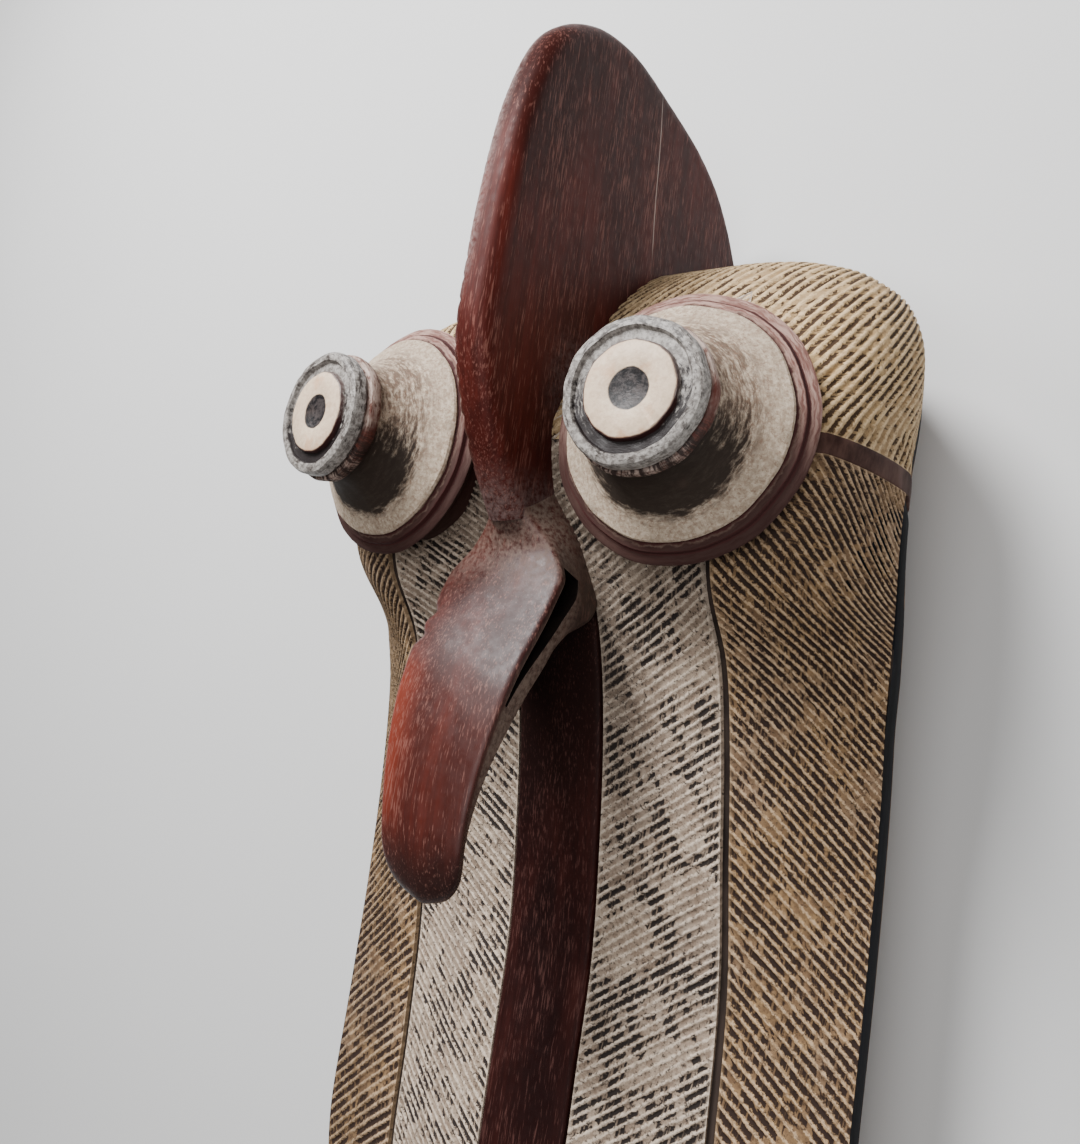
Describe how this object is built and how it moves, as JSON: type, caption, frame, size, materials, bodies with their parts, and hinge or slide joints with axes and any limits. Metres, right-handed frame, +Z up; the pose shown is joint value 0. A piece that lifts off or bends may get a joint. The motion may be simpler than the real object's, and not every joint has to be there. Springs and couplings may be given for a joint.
{
  "type": "kifwebe mask",
  "caption": "Hollow carved wooden spirit mask with a tall blade crest, telescopic eyes, a hooked nose and combed grooves, lying on its rim.",
  "frame": {"origin": "on the ground, at the bottom centre of the mask's bounding box as it lies on its rim", "axes": "+Y along the mask from chin to crest, +Z up out of the face, X across the face"},
  "size_m": [0.246, 0.5604, 0.1835],
  "materials": {
    "painted_wood": "dry cream and ochre paint over dark grooves, with dark red-brown crest, nose and band of satin gloss"
  },
  "bodies": {
    "root": {"mask": "painted_wood"}
  },
  "joints": []
}
